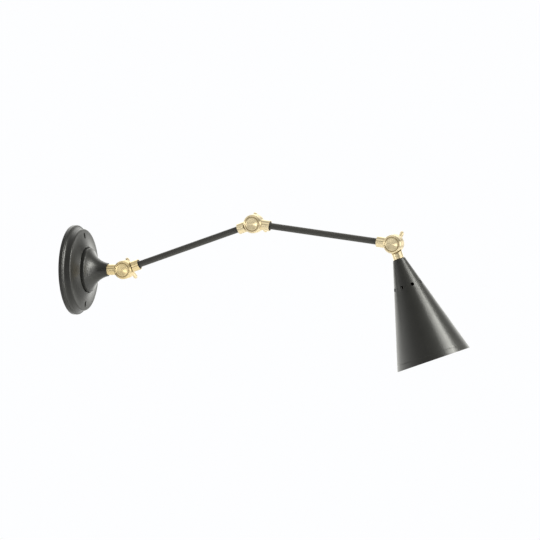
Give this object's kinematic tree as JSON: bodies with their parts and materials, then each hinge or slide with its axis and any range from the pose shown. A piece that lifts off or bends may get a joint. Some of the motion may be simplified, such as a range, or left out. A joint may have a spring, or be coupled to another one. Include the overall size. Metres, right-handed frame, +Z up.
{
  "type": "swing arm wall lamp",
  "caption": "Wall lamp with a round canopy, two jointed arms with brass knuckles tightened by wing screws, and a vented cone shade that tilts and turns to aim its light.",
  "frame": {"origin": "centre of the canopy's back, in the plane of the wall", "axes": "+X straight out of the wall, +Z up, +Y completes a right-handed set and is the side of the wing screws; at rest the arms and the shade lie in a plane through the X axis, 3.5 degrees off XZ"},
  "size_m": [0.5767, 0.127, 0.2228],
  "materials": {
    "black_paint": "satin black powder coat on spun and drawn steel",
    "shade_paint": "satin black powder coat inside and out",
    "satin_brass": "pale satin brass, lathe turned and lacquered",
    "plain_brass": "plain machined brass",
    "black_bush": "moulded black nylon",
    "zinc_steel": "zinc plated",
    "spring_steel": "hardened spring steel",
    "fibre": "vulcanised fibre",
    "terminal_plastic": "moulded off-white thermoplastic",
    "flex": "black insulated flex",
    "porcelain": "glazed porcelain",
    "cap_aluminium": "plain pressed aluminium",
    "opal_glass": "opal white, diffusing"
  },
  "bodies": {
    "canopy": {"canopy_plate": "black_paint", "hub_bell": "black_paint", "hub_sleeve": "plain_brass", "sleeve_nut": "zinc_steel", "terminal_bracket": "zinc_steel", "stop_pin": "zinc_steel", "earth_tag": "plain_brass", "earth_screw": "plain_brass", "terminal_block": "terminal_plastic", "terminal_screws": "plain_brass", "block_screw": "zinc_steel"},
    "stem": {"shoulder_near_half": "satin_brass", "thrust_washer": "fibre", "swivel_nipple": "plain_brass", "stop_washer": "zinc_steel", "swivel_spring_washer": "spring_steel", "swivel_nut": "zinc_steel", "stem_wire": "flex", "shoulder_friction_washer": "fibre"},
    "arm_one": {"shoulder_far_half": "satin_brass", "arm_one_tube": "black_paint", "arm_one_wire": "flex", "arm_one_ferrules": "black_bush", "elbow_far_half": "satin_brass"},
    "arm_two": {"elbow_near_half": "satin_brass", "elbow_friction_washer": "fibre", "arm_two_tube": "black_paint", "arm_two_wire": "flex", "arm_two_ferrules": "black_bush", "wrist_near_half": "satin_brass", "wrist_friction_washer": "fibre"},
    "shade_head": {"wrist_far_half": "satin_brass", "shade": "shade_paint", "shade_nipple": "plain_brass", "shade_washer": "zinc_steel", "shade_nut": "zinc_steel", "shade_wire": "flex", "holder_cap": "black_paint", "holder_body": "porcelain", "screw_shell": "plain_brass", "centre_contact": "plain_brass", "bulb_cap": "cap_aluminium", "bulb_glass": "opal_glass"},
    "shoulder_screw": {"shoulder_wing_screw": "satin_brass", "shoulder_spring_washer": "spring_steel"},
    "elbow_screw": {"elbow_wing_screw": "satin_brass", "elbow_spring_washer": "spring_steel"},
    "wrist_screw": {"wrist_wing_screw": "satin_brass", "wrist_spring_washer": "spring_steel"}
  },
  "joints": [
    {"name": "canopy_swivel", "type": "hinge", "parent": "canopy", "child": "stem", "pos_m": [0, 0, 0], "axis": [1, 0, 0], "range_deg": [-163.5, 156.5]},
    {"name": "shoulder_hinge", "type": "hinge", "parent": "stem", "child": "arm_one", "pos_m": [0.0755, 0, 0], "axis": [0, -0.9981, -0.061], "range_deg": [-98.05, 61.95]},
    {"name": "elbow_hinge", "type": "hinge", "parent": "arm_one", "child": "arm_two", "pos_m": [0.27041, -0.00388, 0.0634], "axis": [0, -0.9981, -0.061], "range_deg": [-63.6, 116.4]},
    {"name": "wrist_hinge", "type": "hinge", "parent": "arm_two", "child": "shade_head", "pos_m": [0.47324, -0.00206, 0.03369], "axis": [0, -0.9981, -0.061], "range_deg": [-36.65, 163.35]},
    {"name": "shoulder_screw_turn", "type": "hinge", "parent": "stem", "child": "shoulder_screw", "pos_m": [0.0755, 0, 0], "axis": [0, 0.9981, 0.061], "range_deg": [0, 180]},
    {"name": "elbow_screw_turn", "type": "hinge", "parent": "arm_two", "child": "elbow_screw", "pos_m": [0.27041, -0.00388, 0.0634], "axis": [0, 0.9981, 0.061], "range_deg": [0, 180]},
    {"name": "wrist_screw_turn", "type": "hinge", "parent": "arm_two", "child": "wrist_screw", "pos_m": [0.47324, -0.00206, 0.03369], "axis": [0, 0.9981, 0.061], "range_deg": [0, 180]}
  ]
}
